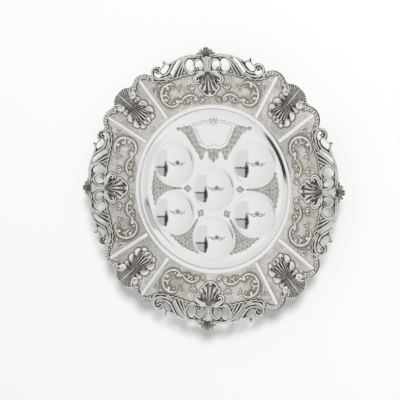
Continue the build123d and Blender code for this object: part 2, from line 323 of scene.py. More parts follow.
def make_piece(name, shape, material, turn=0.0, spot=(0.0, 0.0), nodes=()):
    """Makes a shape, turned clockwise about the plate's axis and moved to its spot, a piece of the plate."""
    c, s = math.cos(math.radians(turn)), math.sin(math.radians(turn))
    points = shape.points @ np.array([[c, -s, 0], [s, c, 0], [0, 0, 1]]) + (spot[0], spot[1], 0)
    mesh = bpy.data.meshes.new(name)
    mesh.vertices.add(len(points))
    mesh.vertices.foreach_set("co", (points * MM).ravel())
    mesh.loops.add(len(shape.loops))
    mesh.loops.foreach_set("vertex_index", shape.loops.astype(np.int32))
    mesh.polygons.add(len(shape.totals))
    mesh.polygons.foreach_set("loop_start", np.r_[0, np.cumsum(shape.totals)[:-1]].astype(np.int32))
    mesh.polygons.foreach_set("loop_total", shape.totals.astype(np.int32))
    mesh.polygons.foreach_set("use_smooth", np.ones(len(shape.totals), bool))
    mesh.update(calc_edges=True)
    mesh.attributes.new("bright", "FLOAT", "POINT").data.foreach_set("value",
                                                                     shape.bright.astype(np.float32))
    mesh.materials.append(material)
    piece = new_object(name, mesh)
    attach(piece, "root")
    if nodes:
        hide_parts(*nodes)
    return piece


def lathe(profile, segments):
    """Turns a closed profile of (radius, height) points about the plate's axis."""
    profile = np.array(profile)
    turn = np.linspace(0, 2 * math.pi, segments, endpoint=False)
    points = np.stack([profile[:, :1] * np.cos(turn), profile[:, :1] * np.sin(turn),
                       np.repeat(profile[:, 1:], segments, 1)], -1)
    n = np.arange(len(profile) * segments).reshape(-1, segments)
    after, beside = np.roll(n, -1, 0), np.roll(n, -1, 1)
    quads = np.stack([n, beside, np.roll(after, -1, 1), after], -1).reshape(-1, 4)
    return Shape(points.reshape(-1, 3), quads.ravel(), np.full(len(quads), 4)).outward().welded()


def arc(centre, radius, start, end, count):
    """Points along an arc, its angles in degrees anticlockwise from outwards."""
    return [(centre[0] + radius * math.cos(math.radians(a)), centre[1] + radius * math.sin(math.radians(a)))
            for a in np.linspace(start, end, count)]


def bow(a, crown, b, count):
    """Points along a smooth curve from a over the crown to b."""
    middle = (2 * crown[0] - (a[0] + b[0]) / 2, 2 * crown[1] - (a[1] + b[1]) / 2)
    return [tuple((1 - t) ** 2 * a[n] + 2 * t * (1 - t) * middle[n] + t * t * b[n] for n in (0, 1))
            for t in np.linspace(0, 1, count)]


# Silver finishes

def metal(name, color, roughness):
    """A new metal, with its node tree and shader."""
    material = bpy.data.materials.new(name)
    material.use_nodes = True
    shader = material.node_tree.nodes["Principled BSDF"]
    shader.inputs["Base Color"].default_value = (*color, 1.0)
    shader.inputs["Metallic"].default_value = 1.0
    shader.inputs["Roughness"].default_value = roughness
    return material, material.node_tree, shader


def cells(tree, scale):
    """The height of a fine punched ground."""
    place = put(tree, "ShaderNodeTexCoord").outputs["Object"]
    return out(tree, "ShaderNodeTexVoronoi", {"Vector": place, "Scale": scale})


def noise(tree, scale, detail=3.0, stretch=(1.0, 1.0, 1.0)):
    """Noise fixed to the piece."""
    place = put(tree, "ShaderNodeTexCoord").outputs["Object"]
    spread = out(tree, "ShaderNodeMapping", {"Vector": place, "Scale": stretch})
    return out(tree, "ShaderNodeTexNoise", {"Vector": spread, "Scale": scale, "Detail": detail})


def ramp(tree, value, *stops):
    """A colour ramp through stops of (place, colour): first its two ends, then any between."""
    node = put(tree, "ShaderNodeValToRGB", {0: value})
    marks = node.color_ramp.elements
    for place, color in stops[2:]:
        marks.new(place).color = (*color, 1.0)
    for mark, (place, color) in zip((marks[0], marks[len(marks) - 1]), stops):
        mark.position, mark.color = place, (*color, 1.0)
    return node.outputs[0]


def span(tree, value, low, high, to_low, to_high):
    """The value, carried over from one range to another."""
    return out(tree, "ShaderNodeMapRange", {0: value, 1: low, 2: high, 3: to_low, 4: to_high})


def dress(tree, shader, color, roughness):
    """Links a finish's colour and roughness."""
    tree.links.new(color, shader.inputs["Base Color"])
    tree.links.new(roughness, shader.inputs["Roughness"])


def bump(tree, shader, height, strength, distance):
    """Roughens a surface by a height."""
    node = out(tree, "ShaderNodeBump", {"Height": height, "Strength": strength, "Distance": distance})
    tree.links.new(node, shader.inputs["Normal"])


def mirror_silver():
    """Mirror-polished silver with faint polishing clouds and hairlines."""
    material, tree, shader = metal("mirror silver", (0.85, 0.85, 0.845), 0.06)
    tree.links.new(span(tree, noise(tree, 22.0), 0.3, 0.7, 0.045, 0.11), shader.inputs["Roughness"])
    bump(tree, shader, noise(tree, 60.0, 2.0, (1.0, 22.0, 1.0)), 0.03, 0.0004)
    return material


def antiqued_silver():
    """Cast silver, oxidised dark where it is recessed and polished bright where it stands proud, with painted
    highlights on its tops and ridges and painted shade down its flanks, in its creases and next to other
    parts, all carried by the brightness it reads.
    """
    material, tree, shader = metal("antiqued silver", (0.6, 0.6, 0.6), 0.3)
    mottle = span(tree, noise(tree, 160.0, 4.0), 0.3, 0.7, -0.1, 0.1)
    fleck = span(tree, noise(tree, 520.0, 2.0), 0.3, 0.7, -0.12, 0.12)
    worn_and_shaded = math_node(tree, "ADD", tone_with_painted_light(tree), math_node(tree, "ADD", mottle, fleck))
    color = ramp(tree, worn_and_shaded, (0.0, (0.022, 0.020, 0.016)), (1.0, (0.95, 0.935, 0.89)),
                 (0.35, (0.22, 0.21, 0.18)), (0.65, (0.64, 0.62, 0.575)))
    dress(tree, shader, color, span(tree, worn_and_shaded, 0.0, 1.0, 0.5, 0.15))
    bump(tree, shader, noise(tree, 700.0, 3.0), 0.12, 0.0004)
    return material


def multiplied(tree, color, layer):
    """Two colours multiplied."""
    mixed = put(tree, "ShaderNodeMix", {0: 1.0, 6: color, 7: layer}, data_type="RGBA", blend_type="MULTIPLY")
    return mixed.outputs[2]


def tone_with_painted_light(tree):
    """How bright the piece is at each point: its polish, oxide and tarnish together with painted highlight
    and painted shade.
    """
    return put(tree, "ShaderNodeAttribute", attribute_name="bright").outputs["Fac"]


def sheet_silver(name, color, roughness, chased):
    """Stamped sheet with a soft grey bloom, faint brown tarnish and a fine punched ground. Chased sheet is
    darkened round its chased strokes, partly as oxide and partly as painted shadow, and along the edges of
    the work standing on it, which is painted shadow."""
    material, tree, shader = metal(name, color, roughness)
    cloud = noise(tree, 26.0, 3.0)
    color = ramp(tree, cloud, (0.3, (0.62, 0.607, 0.575)), (0.7, (0.85, 0.835, 0.80)))
    tarnish = ramp(tree, noise(tree, 60.0, 5.0), (0.36, (0.84, 0.815, 0.765)), (0.56, (1.0, 1.0, 1.0)))
    grain = ramp(tree, noise(tree, 430.0, 3.0), (0.36, (0.74, 0.735, 0.72)), (0.62, (1.0, 1.0, 1.0)))
    color = multiplied(tree, multiplied(tree, color, tarnish), grain)
    if chased:
        # Painted shadow along the edges of the applied work and, with oxide, round the chased strokes
        stain_and_shadow = ramp(tree, tone_with_painted_light(tree), (0.0, (0.06, 0.055, 0.045)), (1.0, (1.0, 1.0, 1.0)),
                     (0.5, (0.42, 0.4, 0.36)))
        color = multiplied(tree, color, stain_and_shadow)
    dress(tree, shader, color, span(tree, cloud, 0.3, 0.7, 0.42, 0.27))
    bump(tree, shader, cells(tree, 520.0), 0.3, 0.0004)
    return material


def strip_silver():
    """Bright drawn strip, with painted shade in its milled lines and down its bevelled sides."""
    material, tree, shader = metal("strip silver", (0.93, 0.92, 0.89), 0.22)
    color = ramp(tree, tone_with_painted_light(tree), (0.0, (0.12, 0.115, 0.10)), (1.0, (0.93, 0.92, 0.89)))
    dress(tree, shader, color, span(tree, noise(tree, 260.0, 3.0), 0.3, 0.7, 0.2, 0.34))
    return material


def matted_silver():
    """Engraved ground, tooled dull and grey."""
    material, tree, shader = metal("matted silver", (0.6, 0.6, 0.58), 0.45)
    grain = cells(tree, 1500.0)
    color = ramp(tree, grain, (0.1, (0.89, 0.88, 0.85)), (0.7, (0.52, 0.51, 0.475)))
    dress(tree, shader, color, span(tree, grain, 0.0, 0.8, 0.36, 0.55))
    bump(tree, shader, grain, 0.5, 0.0003)
    return material


MIRROR, ANTIQUED, STRIP, MATTED = mirror_silver(), antiqued_silver(), strip_silver(), matted_silver()
PANEL = sheet_silver("panel silver", (0.7, 0.7, 0.68), 0.3, chased=False)
CHASED = sheet_silver("chased silver", (0.6, 0.6, 0.58), 0.35, chased=True)
SCROLL, BEADS, PLATE = scroll_tree(), bead_tree(), plate_tree()


def scrolls(strokes, flatness=0.75, grooves=4.0, depth=0.15, around=14, steps=6, middle=-0.5):
    """Swept bars along the strokes."""
    return strokes_shape(strokes, SCROLL, Flatness=flatness, Grooves=grooves, Depth=depth, Around=around,
                         Steps=steps, Middle=middle, Material=ANTIQUED)


def raised_bars(strokes, lift, tone, **form):
    """Swept bars raised by lift. Tone holds the heights between which they turn from painted shade to painted
    highlight, how bright they are below, and how much painted shade darkens their grooves."""
    return shade(scrolls(moved(strokes, lift), **form), *tone)


def beads(strokes, pitch, height):
    """Rows of beads along the strokes."""
    return strokes_shape(strokes, BEADS, Pitch=pitch * MM, Height=height, Material=ANTIQUED)


# Mirror-polished centre: wells and shoulder

DISH = (WELL**2 + WELL_DEPTH**2) / (2 * WELL_DEPTH)
DISH_CENTRE = TRAY - WELL_DEPTH + DISH
WELL_WALL = 0.75
COLLAR_SEAT = TRAY + 0.05
COLLAR_TOP = TRAY + 0.55
neck = WELL + WELL_WALL
mouth_angle = math.degrees(math.asin(WELL / DISH))
under_angle = math.degrees(math.asin(neck / (DISH + SHEET)))
bowl = arc((0, DISH_CENTRE), DISH, -90, -90 + mouth_angle, 40)
collar = bow(bowl[-1], (WELL + COLLAR / 2, COLLAR_TOP), (WELL + COLLAR, COLLAR_SEAT), 9)[1:]
below = arc((0, DISH_CENTRE), DISH + SHEET, -90 + under_angle, -90, 24)
well_shape = lathe(bowl + collar + [(neck, COLLAR_SEAT)] + below, 160)
for name, spot in WELL_SPOTS.items():
    make_piece(f"dished_well_{name}", well_shape, MIRROR, spot=spot, nodes=[f"well_{name}"])

slope = [
    (SEAM + SOLDER, TRAY), (105.2, 12.02), (105.7, 12.1), (106.2, 12.27), (106.7, 12.53), (107.3, 12.88),
    (108.3, 13.48), (109.3, 14.09), (110.3, 14.71), (111.3, 15.34), (112.3, 15.98), (113, 16.44),
    (113.6, 16.95), (114.1, 17.7), (114.5, 18.7), (114.7, 20.2)]
lip_over = bow((115.0, 21.35), (LIP_MIDDLE, CROWN), (LIP_OUTER, LIP + 0.3), 14)
lip_under = bow((LIP_OUTER, LIP - SHEET), (LIP_MIDDLE, CROWN - SHEET), (115.9, 20.4), 10)
slope_under = [(r + 0.6, z - SHEET) for r, z in slope[:2:-1]] + [(SEAM + SOLDER, TRAY - SHEET)]
shoulder = lathe(slope + lip_over + lip_under + slope_under, 256)
make_piece("coved_shoulder", shoulder, MIRROR, nodes=["shoulder_ring"])

# The centre plate, the foot ring and the panels keep their solids

for name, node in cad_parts.items():
    panel = name.startswith(("scroll_panel", "leaf_panel"))
    if panel or name in ("centre_plate", "foot_ring"):
        node.data.materials.clear()
        node.data.materials.append(PANEL if panel else MIRROR)

# Chased scrolls on the scroll panels, one half of the panel each

chased = mirrored([
    [(64.5, 142.2, 0.7), (62.5, 143.6, 0.9), (63.2, 146.2, 1.1), (66.4, 147, 1.3), (70.2, 144.5, 1.6),
     (73, 139.5, 1.8), (74, 133.5, 1.8), (72.5, 127, 1.7), (68.5, 121.8, 1.6), (62.5, 118.6, 1.5),
     (56, 118.4, 1.4), (51, 120.7, 1.2), (48.6, 124, 1), (49.6, 127, 0.8), (52.2, 127.2, 0.7)],
    [(68, 146.6, 1.2), (61, 149.8, 1.5), (55, 149.4, 1.2), (51, 146.6, 0.5)],
    [(72.6, 133, 0.9), (67, 134.6, 1.2), (63, 131.4, 1), (61.4, 127.4, 0.5)],
    [(72, 127, 0.8), (66, 128.6, 1.1), (64.5, 124.6, 0.5)],
    [(44.5, 123.4, 0.7), (42.6, 127.2, 1.1), (38.4, 131.4, 1.4), (32, 133.8, 1.5), (26, 133.4, 1.4),
     (21, 130.8, 1.2), (19.4, 127.6, 0.9), (21.6, 125.8, 0.8), (24.4, 127.2, 0.7)],
    [(37, 130.6, 0.7), (34.5, 127.6, 1.1), (30.5, 126.4, 0.9), (28, 128.4, 0.5)],
    [(17, 123.4, 0.6), (12.6, 125.4, 1.1), (9.6, 129, 0.9), (10.6, 132, 0.5)],
    [(27, 139.6, 0.5), (26.6, 143.6, 1.2), (27.4, 148.6, 0.5)],
    [(26.8, 141.6, 0.5), (23.4, 144.6, 1.1), (22.2, 148, 0.4)],
    [(26.8, 141.6, 0.5), (30.6, 144.2, 1.1), (32.2, 147.4, 0.4)],
    [(79.6, 131.5, 0.5), (82, 136.4, 1.1), (81.2, 141, 1), (84, 144.6, 0.5)],
    [(82, 136.4, 0.6), (86.4, 139, 1.1), (87.8, 143, 0.5)],
    [(79.6, 148, 0.5), (75.4, 147.6, 1), (72.4, 149.4, 0.5)],
    [(43, 147, 0.5), (47, 143.6, 1), (46, 139.4, 0.5)],
])
chased_beads = [[(side * u, v, r), (side * u + 0.4, v, r)] for side in (-1, 1) for u, v, r in (
    (63.6, 144, 2.1), (13.4, 128.2, 1.5), (46.4, 125.6, 1.8), (51.4, 125.2, 2.3), (23.4, 128.4, 1.9),
    (66.4, 137.4, 1.6), (56.4, 122.8, 1.5), (35.4, 124.4, 1.6), (40.4, 123.6, 1.2), (67.6, 126.4, 1.4),
    (84.4, 133.6, 1.2), (27, 138.6, 1.2), (55.4, 144.6, 1.1), (76.6, 146.4, 1.1), (29.6, 130, 1.2))]
chasing = raised_bars(chased, 0.15, (-0.3, 0.7, 0.45, 0.1), flatness=0.62, grooves=2.0, depth=0.06,
                      around=12, steps=5)
chasing += shade(beads(moved(chased_beads, 0.3), pitch=3.0, height=0.47), -0.3, 0.7, 0.45, 0.0)
CHASED_DULLNESS = 0.86
chasing.bright *= CHASED_DULLNESS


def through(points, steps, closed=False):
    """Points along a smooth line through the given ones, not evenly spaced."""
    line = np.array(points, float)
    if len(line) < 3:
        return line
    first, last = (line[-1], line[:2]) if closed else (2 * line[0] - line[1], 2 * line[-1] - line[-2])
    ends = np.vstack([first, line, last])
    t = np.linspace(0, 1, steps, endpoint=False)[:, None]
    parts = [0.5 * (2 * b + (c - a) * t + (2 * a - 5 * b + 4 * c - d) * t**2 + (3 * b - a - 3 * c + d) * t**3)
             for a, b, c, d in zip(ends, ends[1:], ends[2:], ends[3:])]
    return np.vstack(parts if closed else parts + [line[-1:]])


FAR = 9.0
REACH = 16.0


def stroke_distance(points, strokes):
    """How far each point lies from the nearest stroke, in that stroke's own thicknesses and up to FAR."""
    nearest = np.full(len(points), FAR)
    for stroke in strokes:
        line = through([p[:3] for p in stroke], 4)
        for a, b in zip(line[:-1], line[1:]):
            step = b[:2] - a[:2]
            close = np.abs(points - (a[:2] + b[:2]) / 2).max(1) < REACH
            t = np.clip((points[close] - a[:2]) @ step / max(step @ step, 1e-9), 0, 1)
            gap = np.hypot(*(points[close] - a[:2] - t[:, None] * step).T)
            nearest[close] = np.minimum(nearest[close], gap / np.maximum(a[2] + t * (b[2] - a[2]), 0.5))
    return nearest


# Heights of the chased ground over the panel, and how dark its furrows are painted: oxide together with
# painted shadow round the chased strokes, and painted shadow along the edges of the applied work
GROUND_EDGE = -0.12
GROUND_RISE = 0.25
FURROW_DEPTH = 0.08
STROKE_RISE = 0.47
FURROW_STAIN_AND_SHADOW = 0.55
GROUND_UNDER = -0.5


def chased_ground(strokes, edges, half_angle, margin, radii, pitch, spread=0.0):
    """The sheet round the chased work: sunk close to the strokes and darkened there with oxide and painted
    shadow, lifted into them, and sunk and darkened with painted shadow along the edges of what stands on it.
    It reaches farther out by spread towards its sides."""
    steps = np.linspace(0, 1, int((radii[1] - radii[0]) / pitch) + 1)[:, None]
    across = np.linspace(-1, 1, int(2 * math.radians(half_angle) * radii[1] / pitch) + 1)
    radius = radii[0] + steps * (radii[1] - radii[0] + spread * smooth_step(0.45, 0.8, np.abs(across)))
    angle = across * (math.radians(half_angle) - np.arcsin(margin / radius))
    u, v = radius * np.sin(angle), radius * np.cos(angle)
    places = np.stack([u.ravel(), v.ravel()], -1)
    lifted = stroke_distance(places, strokes).reshape(u.shape)
    rimmed = stroke_distance(places, edges).reshape(u.shape)
    inward = np.minimum(radius - radii[0], radii[1] + spread - radius)
    border = smooth_step(0.0, 1.6, np.minimum(30.0 * (1 - np.abs(across)), inward))
    cut = smooth_step(4.2, 1.1, lifted) * smooth_step(0.5, 1.2, lifted)
    furrow = np.maximum(cut, 1.3 * smooth_step(3.4, 0.6, rimmed))
    raised = smooth_step(1.7, 0.4, lifted)
    z = GROUND_EDGE + border * (GROUND_RISE - FURROW_DEPTH * furrow + STROKE_RISE * raised)
    return closed_sheet(np.stack([u, v, z], -1), 1 - border * FURROW_STAIN_AND_SHADOW * furrow, GROUND_UNDER)


# Lines, fluted leaves and rolled edges

def smooth_line(points, count):
    """A smooth line through the points, as count points at even steps along it."""
    line = through(points, 12)
    length = np.r_[0, np.cumsum(np.hypot(*np.diff(line, axis=0).T))]
    even = np.linspace(0, length[-1], count)
    return np.stack([np.interp(even, length, line[:, n]) for n in (0, 1)], -1)


# The silver's brightness across a flute, from its middle to the ridge or crease that parts it from the next:
# painted highlight on the ridges and swells, and painted shade in the hollows and creases beside them, partly
# standing for oxide there
DARK_FLUTES = (0.03, 0.05, 0.2, 0.7, 1.0)
GREY_FACETS = (0.6, 0.44, 0.18, 0.04, 1.0)
GREY_FOLDS = (0.68, 0.64, 0.54, 0.32, 0.04)
SLIT_FLUTES = (0.04, 0.18, 0.5, 0.62, 0.95)
PALE_LOBES = (0.97, 0.93, 0.84, 0.55, 0.06)
GREY_LOBES = (0.78, 0.72, 0.6, 0.36, 0.05)
VEINED = (0.30, 0.40, 0.52, 0.62, 0.9)

LEAF_UNDER = -0.4
EYE_FLOOR = -0.3


def fluted(root, edge, flutes, lift, relief, tones, tip=None, flare=1.0, hollow=True, fade=(0.65, 1.0, 1.0),
           notch=0.0, samples=12, rows=18):
    """A leaf from a root line to an edge line. Its flutes are hollow with sharp ridges between them, or else
    they swell with sharp creases between. Tip gives other tones for the flutes' ends and where they begin and
    are full. Flare bends the leaf's sides outwards, fade is the brightness at the root, midway and at the
    edge, which paints shade towards the root, and notch paints shade down the leaf's two sides."""
    columns = flutes * samples + 1
    start, end = smooth_line(root, columns), smooth_line(edge, columns)
    along = np.linspace(0, 1, rows)[:, None]
    phase = np.abs(np.linspace(0, flutes, columns) % 1.0 * 2 - 1)
    flat = start + np.stack([along**flare, along], -1) * (end - start)
    crest = phase**2 if hollow else 1 - phase**3
    swell = np.sin(np.pi * (0.15 + 0.78 * along))
    z = lift * (1 - 0.6 * along**4) + relief * swell * (0.35 + 0.65 * crest)
    places = np.linspace(0, 1, len(tones))
    bright = np.interp(phase, places, tones) * np.ones_like(along)
    if tip:
        bright += smooth_step(tip[1], tip[2], along) * (np.interp(phase, places, tip[0]) - bright)
    bright = bright * np.interp(along, (0, 0.5, 1), fade)
    side = smooth_step(0.0, 0.2, 0.5 - np.abs(np.linspace(-0.5, 0.5, columns)))
    bright = bright * (1 - notch * (1 - side) * smooth_step(0.1, 0.5, along))
    return closed_sheet(np.concatenate([flat, z[..., None]], -1), bright, LEAF_UNDER)


def drilled(shape, half_spots, radius=1.5, depth=1.5):
    """The shape with small eyes drilled into it, given for its right half, each painted dark as the shade
    inside it.
    """
    for u, v in half_spots:
        near = np.exp(-((np.abs(shape.points[:, 0]) - u) ** 2 + (shape.points[:, 1] - v) ** 2) / radius**2)
        sunk = np.maximum(shape.points[:, 2] - depth * near, EYE_FLOOR)
        shape.points[:, 2] = np.where(shape.points[:, 2] > EYE_FLOOR, sunk, shape.points[:, 2])
        shape.bright = shape.bright * (1 - 0.95 * near)
    return shape


def leaflets(*pairs, **more):
    """Fluted leaves given as (root, edge, flutes, lift, relief, tones), with their mirror images."""
    shape = None
    for root, edge, *rest in pairs:
        for side in (1, -1):
            one = fluted([(side * u, v) for u, v in root], [(side * u, v) for u, v in edge], *rest, **more)
            shape = one if shape is None else shape + one
    return shape


def left_to_right(half):
    """A line across the panel, from its right half, which ends on the axis."""
    return [(-u, v) for u, v in half[:-1]] + half[::-1]


def closed_outline(half):
    """A closed outline, from its right half, which starts and ends on the axis."""
    return half + [(-u, v) for u, v in half[-2:0:-1]]


def rolled_rim(half, radius, height):
    """A bright rolled edge along an outline, given as its right half, and thin where the outline turns in."""
    line = left_to_right(half)[::-1]
    inner = np.array(line)
    turn = np.zeros(len(line))
    a, b = inner[1:-1] - inner[:-2], inner[2:] - inner[1:-1]
    turn[1:-1] = (a[:, 0] * b[:, 1] - a[:, 1] * b[:, 0]) / (np.hypot(*a.T) * np.hypot(*b.T))
    thick = radius * np.clip(1.0 - 0.55 * turn, 0.5, 1.3)
    strokes = [[(u, v, r) for (u, v), r in zip(line, thick)]]
    tone = (height - 0.7 * radius, height + 0.2 * radius, 0.4, 0.1)
    return raised_bars(strokes, height, tone, flatness=0.8, grooves=2.0, depth=0.05, around=10, steps=8)


# Pierced galleries: a plate with its piercings, scroll strands over it, and a finial

half_outline = [
    (0, 190.4), (10, 190.2), (20, 190), (30, 189), (40, 186.4), (50, 182.6), (57.5, 179.4), (62.6, 180),
    (65.6, 182.4), (66.8, 180.6), (66.9, 177), (69.8, 173.2), (74, 174.6), (79, 174.6), (84, 171.6),
    (86.2, 166.4), (86.4, 161), (87.6, 157.4), (83.6, 153), (77, 151.2), (69, 151.6), (61, 153.6),
    (53, 155.2), (45, 157.4), (38, 159.6), (31, 161.2), (24, 161.8), (17, 163), (8, 164), (0, 164)]
half_piercings = [
    [(7.4, 170), (6.7, 175), (8.8, 179.6), (13, 181.4), (17.2, 180), (18.8, 176), (18.2, 172.2),
     (14.4, 172.4), (13.2, 169.4), (10, 168.2)],
    [(20.7, 169), (21.2, 174), (20.8, 180), (24.5, 183.6), (29, 183), (32.8, 178.4), (33.2, 172.6),
     (30, 167.6), (25, 166)],
    [(39.4, 184.8), (42.4, 184.4), (48.2, 178.8), (53.2, 171.8), (57.2, 165.4), (56.2, 162.9), (53.8, 163),
     (49.6, 169), (44.6, 176), (39.8, 181.6)],
    [(58.6, 176.6), (62.6, 177.4), (66, 175.2), (68.8, 172), (71.2, 169.8), (71.2, 165.8), (67, 164.6),
     (62.4, 167.6), (58.2, 173.4)],
    [(69.8, 163.2), (71.8, 160.2), (76, 159), (80.6, 161), (82, 165.2), (79.6, 166.6), (76.4, 164.4),
     (73, 165.2)]]
strands = mirrored([
    [(5, 188.4, 1.3), (16, 189.2, 1.6), (27, 188.4, 1.8), (38, 185.9, 1.8), (48, 182.2, 1.7),
     (56.6, 178.6, 1.5), (61.4, 178, 1.3), (64.2, 179.6, 1.1), (65.6, 181.8, 0.5)],
    [(9, 185.8, 0.8), (20, 186.8, 1.2), (30, 185.8, 1.5), (37, 182.4, 1.7), (43.2, 175.4, 1.7),
     (48.2, 168.4, 1.6), (52.2, 162, 1.4), (53.2, 158, 0.8)],
    [(29, 184.8, 0.8), (34.8, 180.6, 1.3), (39.6, 173.8, 1.4), (43.8, 166.8, 1.4), (46.8, 160.8, 1.1),
     (46.4, 158, 0.6)],
    [(35.4, 177.4, 0.7), (37, 171.6, 1.2), (39.4, 165.8, 1.2), (41.4, 161.2, 0.9), (40.6, 159.4, 0.5)],
    [(44, 184, 0.8), (49.8, 180, 1.3), (54.8, 173, 1.6), (59, 166.8, 1.6), (64, 163.4, 1.5),
     (69, 161.8, 1.1), (71.6, 161.4, 0.7)],
    [(31.6, 183.6, 0.9), (34.4, 178.4, 1.3), (34.6, 172.4, 1.3), (31.6, 167, 1.3), (26.4, 164.8, 1.3),
     (21.2, 165.2, 1.1), (19.2, 167.6, 0.8)],
    [(3.6, 167, 1.1), (4.6, 173.6, 1.3), (7, 179.8, 1.5), (12, 182.8, 1.6), (17.2, 181.6, 1.5),
     (20, 177.8, 1.4), (19.8, 173, 1.2), (18.4, 169.8, 1), (16, 168.8, 0.9), (15, 170.6, 0.8),
     (16.6, 171.8, 0.7)],
    [(2, 164.8, 0.8), (8, 166.4, 1.3), (14, 166.2, 1.2), (19, 165, 0.7)],
    [(56.6, 162.6, 1), (63.6, 159.4, 1.4), (70.6, 157.4, 1.6), (77.8, 157.4, 1.7), (83, 160.8, 1.7),
     (84.6, 166.4, 1.6), (82.2, 171.4, 1.5), (77.4, 173.2, 1.4), (73, 171.4, 1.3), (72, 167.8, 1.1),
     (74.6, 166, 1), (76.8, 167.8, 0.9), (75.6, 169.4, 0.7)],
    [(60.6, 178.6, 0.9), (64.6, 177.8, 1), (67.4, 174.8, 1.1), (70, 172.2, 1.1), (72.6, 171.4, 0.8)],
    [(51, 164.6, 0.5), (55.6, 160.6, 1), (61, 157.6, 1.2), (66.6, 156, 0.9)],
    [(87.2, 158.6, 0.8), (83.6, 155, 1.1), (79, 153, 1.2), (75.6, 154.2, 0.8), (72, 152.8, 1.2),
     (67.6, 154, 0.8), (64, 154, 1.2), (60, 156.2, 0.8), (56.6, 155.8, 1.2), (53, 157.8, 0.8),
     (49.6, 157.4, 1.2), (46, 159.6, 0.8), (42.6, 159.2, 1.2), (39, 161.6, 0.8), (35, 161.4, 1.2),
     (30.4, 163.2, 0.9), (25, 162.8, 1.2), (20.4, 164.6, 0.8)],
])
INNER_EDGE = 11


def inside(points, loop):
    """Which points lie inside a closed line."""
    a, b = loop, np.roll(loop, -1, 0)
    u, v = points[:, :1], points[:, 1:]
    crosses = (a[:, 1] > v) != (b[:, 1] > v)
    slant = (b[:, 0] - a[:, 0]) / (b[:, 1] - a[:, 1] + 1e-12)
    return (crosses & (u < a[:, 0] + (v - a[:, 1]) * slant)).sum(1) % 2 == 1


ROUNDING = 0.6


def pierced_plate(outline, holes, strokes, pitch, top, under):
    """A plate in an outline, open at its holes, with rounded edges, painted with shade beside the strokes on
    it, partly standing for oxide, and at its edges.
    """
    lines = [through(line, 5, closed=True) for line in [outline] + holes]

    def solid(points):
        return inside(points, lines[0]) & ~np.any([inside(points, line) for line in lines[1:]], 0)

    edges = [[(u, v, 1.0) for u, v in np.vstack([line, line[:1]])[::2]] for line in lines]
    low, high = lines[0].min(0), lines[0].max(0)
    grid = np.stack(np.meshgrid(np.arange(low[0], high[0], pitch), np.arange(low[1], high[1], pitch)), -1)
    grid[1::2, :, 0] += pitch / 2
    grid = grid.reshape(-1, 2)
    grid = grid[solid(grid)]
    grid = grid[stroke_distance(grid, edges) > 0.6 * pitch]
    starts = np.cumsum([0] + [len(line) for line in lines])
    links = [(int(first + n), int(first + (n + 1) % len(line)))
             for first, line in zip(starts, lines) for n in range(len(line))]
    flat, _, faces, *_ = delaunay_2d_cdt([tuple(p) for p in np.vstack(lines + [grid])], links, [], 0, 1e-6)
    flat, faces = np.array(flat), np.array(faces)
    faces = faces[solid(flat[faces].mean(1))]
    count = len(flat)
    sides = np.vstack([faces[:, [0, 1]], faces[:, [1, 2]], faces[:, [2, 0]]])
    known = {tuple(side) for side in sides.tolist()}
    rims = np.array([side for side in sides.tolist() if (side[1], side[0]) not in known])
    wall = np.stack([rims[:, 0], rims[:, 0] + count, rims[:, 1] + count, rims[:, 1]], -1)
    rim_gap = stroke_distance(flat, edges)
    z = top - ROUNDING + ROUNDING * smooth_step(0.0, 1.5, rim_gap)
    # Painted shade: dark next to the strands, partly as oxide, and dark along the plate's rounded edges
    clear = smooth_step(1.3, 2.4, stroke_distance(flat, strokes)) * smooth_step(0.0, 1.2, rim_gap)
    bright = 0.02 + 0.7 * clear
    points = np.vstack([np.column_stack([flat, z]), np.column_stack([flat, np.full(count, under)])])
    return Shape(points, np.r_[faces.ravel(), (faces[:, ::-1] + count).ravel(), wall.ravel()],
                 np.r_[np.full(2 * len(faces), 3), np.full(len(wall), 4)], np.tile(bright, 2))


gallery = pierced_plate(closed_outline(half_outline), mirrored(half_piercings), strands, pitch=1.1, top=0.7,
                        under=-0.9)
gallery += raised_bars(strands, 0.7, (0.2, 1.0, 0.0, 0.5), flatness=0.8, depth=0.26, middle=0.5)
gallery += leaflets(
    ([(2.4, 185), (1.6, 188)], [(12, 187.4), (15.4, 189.6), (13, 192), (9, 191.4), (6, 189.6)],
     2, 0.3, 1.5, GREY_FOLDS),
    ([(1.6, 187), (1.2, 190)], [(6, 189.6), (9.4, 191.4), (10, 194.8), (7.4, 196.8), (3.6, 193.4)],
     3, 0.4, 1.7, GREY_FOLDS),
    hollow=False, fade=(0.3, 0.8, 1.0))
gallery += fluted([(-2, 187), (2, 187)], left_to_right([(3.6, 192.6), (4.6, 196.4), (2.8, 199), (0, 199.6)]),
                  5, 0.5, 1.7, GREY_FOLDS, hollow=False, fade=(0.2, 0.7, 0.9))
stems = mirrored([
    [(1.4, 166, 1), (1.2, 172, 0.9), (1.6, 178, 1), (3.2, 184, 1.2), (6, 187.4, 0.8)],
    [(3.4, 165.6, 0.8), (2.8, 172, 0.7), (3.6, 178.6, 0.8), (6, 183, 0.7)]])
gallery += raised_bars(stems, 0.6, (0.4, 1.5, 0.06, 0.4), flatness=0.9, grooves=2.0, depth=0.1, around=10)

# Palmettes under the galleries: a tall middle lobe over two that spread behind it, a curl at each foot, and a
# rolled edge

